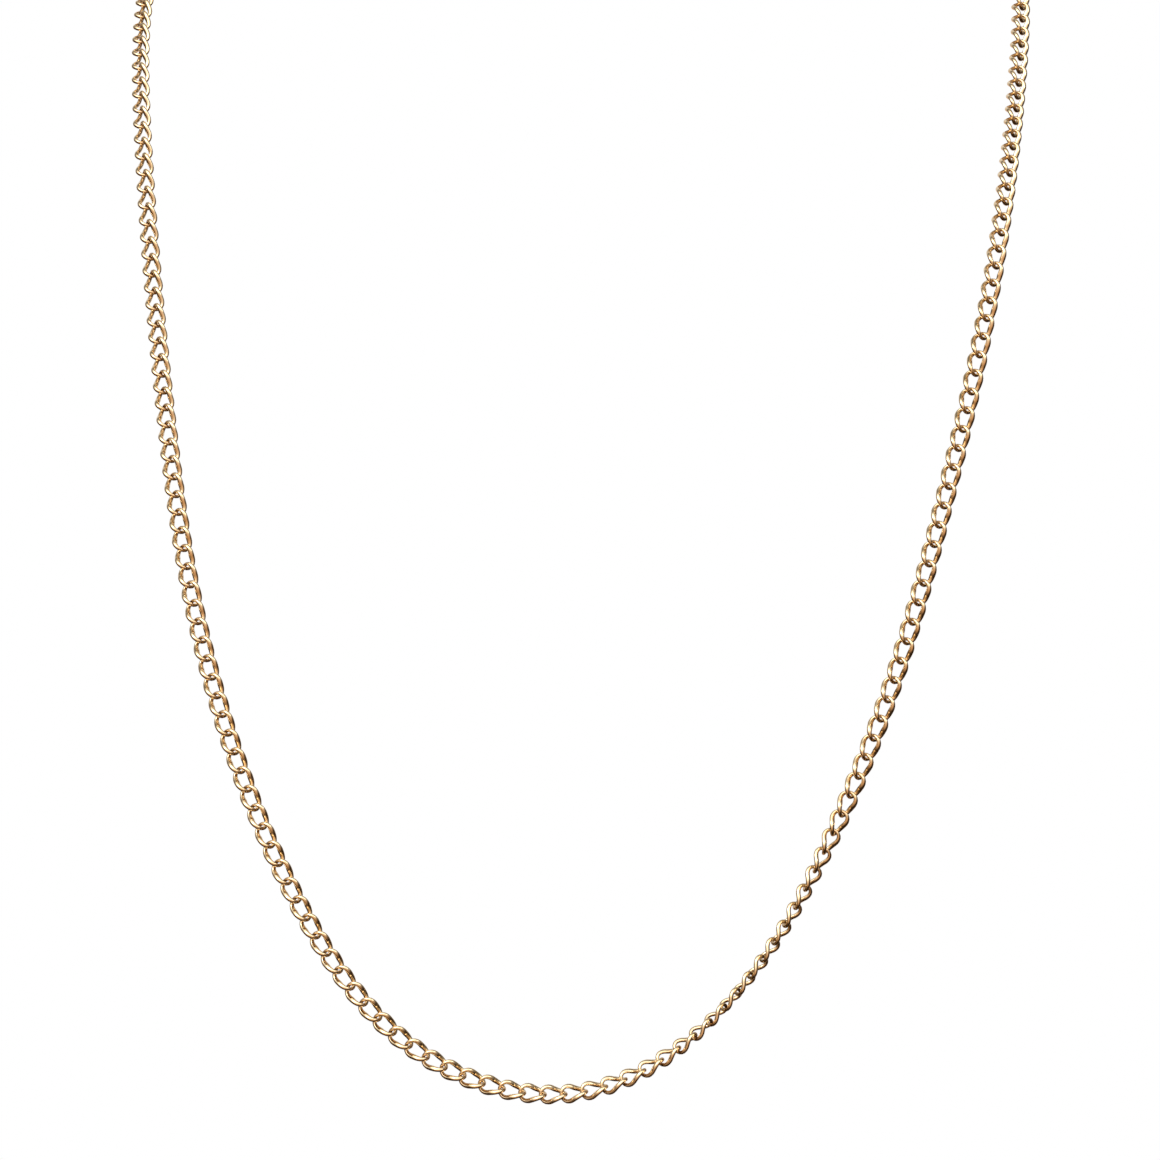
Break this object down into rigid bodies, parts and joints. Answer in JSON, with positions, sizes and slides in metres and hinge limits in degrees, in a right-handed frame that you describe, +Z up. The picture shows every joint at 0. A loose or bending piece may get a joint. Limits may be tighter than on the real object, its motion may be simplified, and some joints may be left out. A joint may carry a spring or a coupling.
{
  "type": "curb chain necklace",
  "caption": "Slim closed curb chain of twisted oval links with a plain barrel clasp, held in the form it takes on a neck.",
  "frame": {"origin": "middle of the clasp, where the necklace lies on the nape", "axes": "+Z up, -Y towards the front of the neck, +X to the right of someone who looks at the front"},
  "size_m": [0.1123, 0.1002, 0.156],
  "materials": {
    "chain": "polished pale gold plate",
    "clasp": "polished pale gold plate"
  },
  "bodies": {
    "root": {"chain_left": "chain", "chain_right": "chain", "clasp": "clasp"}
  },
  "joints": []
}
